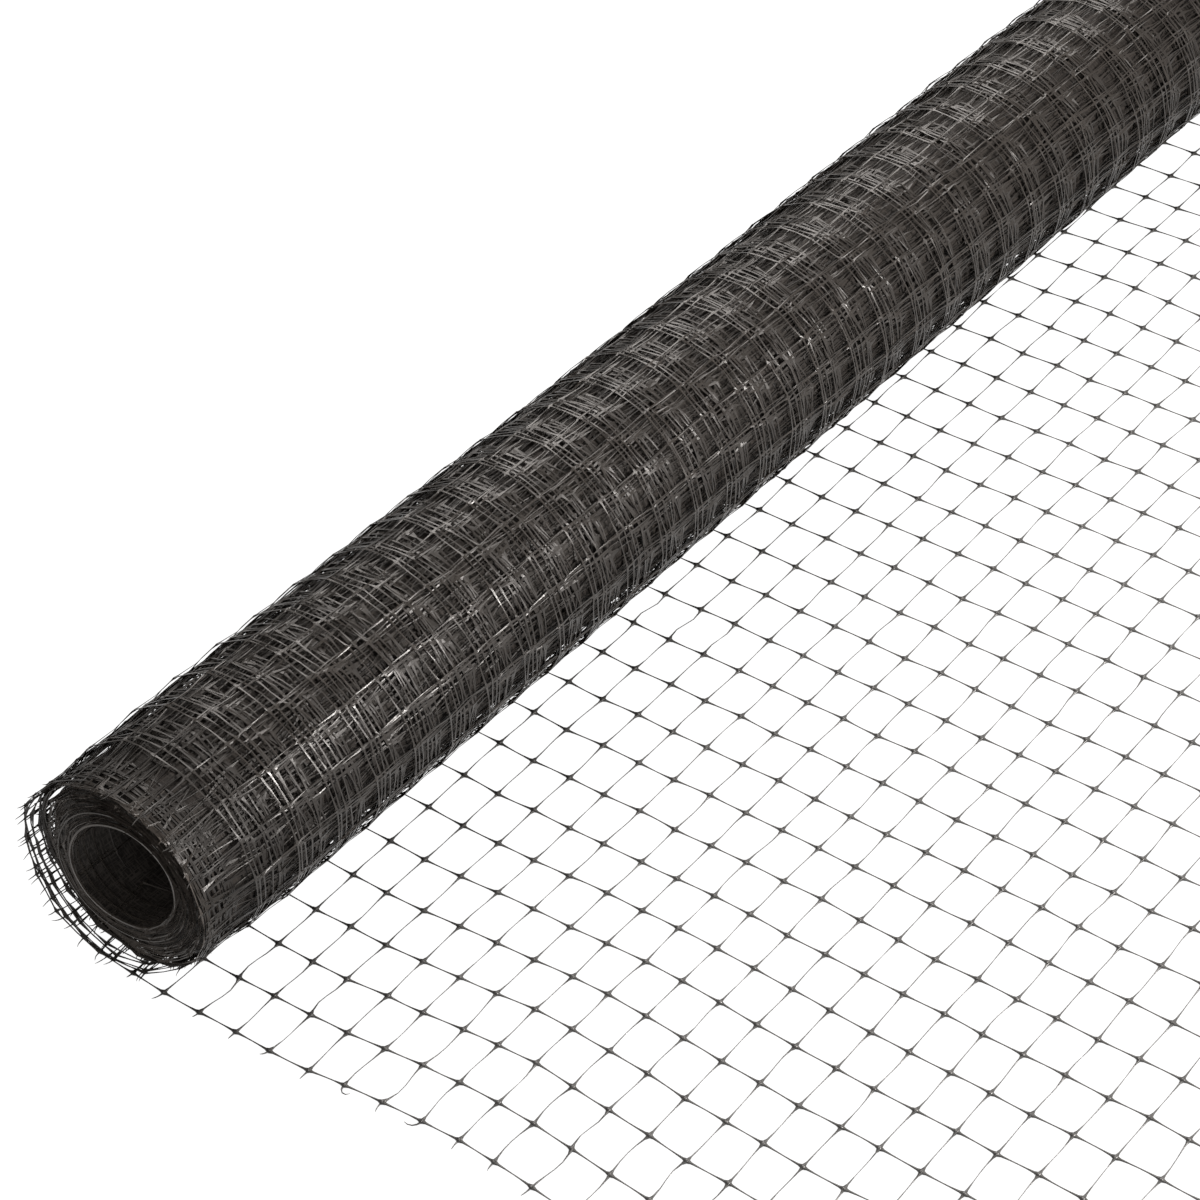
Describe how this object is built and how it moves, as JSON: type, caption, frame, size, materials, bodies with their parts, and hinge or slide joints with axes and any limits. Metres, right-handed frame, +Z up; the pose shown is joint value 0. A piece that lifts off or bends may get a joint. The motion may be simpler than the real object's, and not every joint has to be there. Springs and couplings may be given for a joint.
{
  "type": "bird netting roll",
  "caption": "Hollow coreless roll of black extruded plastic net, ridged at each row of knots, with its loose end paid out flat to one side.",
  "frame": {"origin": "middle of the roll's flat resting strip, on the surface that the roll lies on", "axes": "+X the way the loose end is paid out, +Y along the roll away from its near end, +Z up"},
  "size_m": [0.4078, 0.9333, 0.0753],
  "materials": {
    "black_net": "satin warm black polypropylene, drawn strands with small glints"
  },
  "bodies": {
    "root": {"wound_roll": "black_net", "loose_end": "black_net"}
  },
  "joints": []
}
